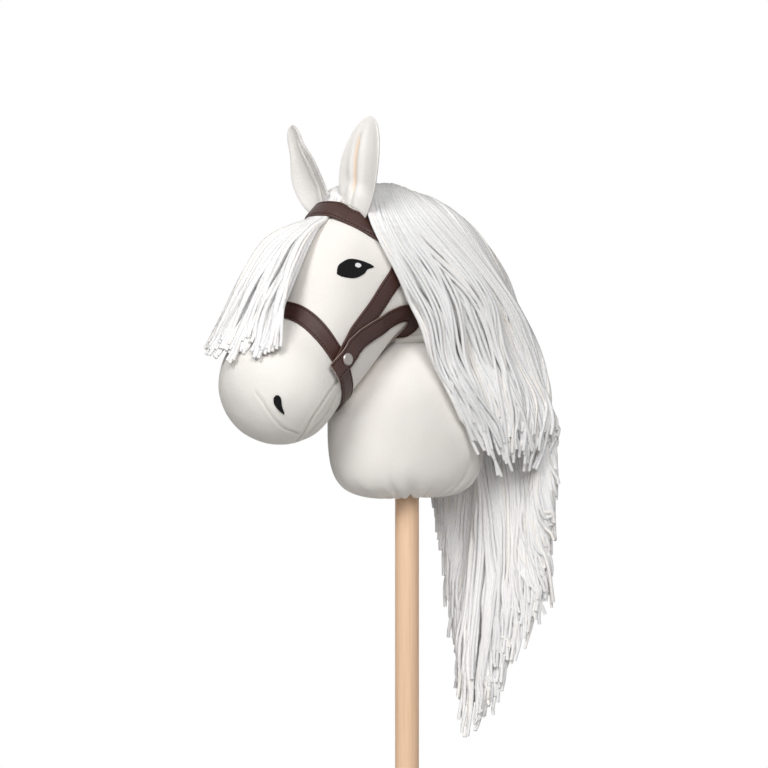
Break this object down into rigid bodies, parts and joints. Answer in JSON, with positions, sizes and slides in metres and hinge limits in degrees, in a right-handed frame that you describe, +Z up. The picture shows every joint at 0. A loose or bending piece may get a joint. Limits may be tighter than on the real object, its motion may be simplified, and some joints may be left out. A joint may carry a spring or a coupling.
{
  "type": "hobby horse",
  "caption": "Stuffed fabric horse's head and neck with yarn mane, forelock and brown strap bridle, carried on a straight round wooden stick for a child to ride.",
  "frame": {"origin": "centre of the flat foot of the stick", "axes": "+Z up along the stick, the horse looks along -X and its near (left) side faces -Y"},
  "size_m": [0.3831, 0.1544, 0.9917],
  "materials": {
    "pine": "sanded, clear, fine grain along the stick",
    "cream_jersey": "brushed short-pile knit",
    "white_wadding": "fibre filling",
    "cotton": "woven tape and cord",
    "peach_lining": "brushed, pale peach",
    "brown_leather": "smooth, slightly glossy, stitched edges",
    "satin_nickel": "satin plating",
    "black_thread": "satin stitch",
    "white_thread": "satin stitch",
    "white_yarn": "soft twisted yarn"
  },
  "bodies": {
    "stick": {"stick": "pine"},
    "head": {"stick_sleeve": "cotton", "gather_cord": "cotton", "head_cover": "cream_jersey", "neck_cover": "cream_jersey", "head_filling": "white_wadding", "neck_filling": "white_wadding", "noseband": "brown_leather", "headstall_strap": "brown_leather", "browband": "brown_leather", "rein_strap": "brown_leather", "mane_tape": "cotton", "poll_tape": "cotton", "near_ear_back": "cream_jersey", "near_ear_lining": "peach_lining", "near_snap_post": "satin_nickel", "near_snap_stud": "satin_nickel", "near_eye": "black_thread", "near_eye_glint": "white_thread", "near_nostril": "black_thread", "near_mane_1": "white_yarn", "near_mane_2": "white_yarn", "near_mane_3": "white_yarn", "near_mane_4": "white_yarn", "near_mane_5": "white_yarn", "near_mane_6": "white_yarn", "far_ear_back": "cream_jersey", "far_ear_lining": "peach_lining", "far_snap_post": "satin_nickel", "far_snap_stud": "satin_nickel", "far_eye": "black_thread", "far_eye_glint": "white_thread", "far_nostril": "black_thread", "far_mane_1": "white_yarn", "far_mane_2": "white_yarn", "far_mane_3": "white_yarn", "far_mane_4": "white_yarn", "far_mane_5": "white_yarn", "far_mane_6": "white_yarn", "forelock_1": "white_yarn", "forelock_2": "white_yarn", "forelock_3": "white_yarn"},
    "near_rein_end": {"near_rein_tab": "brown_leather", "near_snap_socket": "satin_nickel", "near_snap_cap": "satin_nickel"},
    "far_rein_end": {"far_rein_tab": "brown_leather", "far_snap_socket": "satin_nickel", "far_snap_cap": "satin_nickel"}
  },
  "joints": [
    {"name": "head_lift", "type": "slide", "parent": "stick", "child": "head", "axis": [0, 0, 1], "range_m": [0, 0.2]},
    {"name": "near_rein_unsnap", "type": "slide", "parent": "head", "child": "near_rein_end", "axis": [0.0926, -0.9953, -0.0298], "range_m": [0, 0.006]},
    {"name": "far_rein_unsnap", "type": "slide", "parent": "head", "child": "far_rein_end", "axis": [0.0926, 0.9953, -0.0298], "range_m": [0, 0.006]}
  ]
}
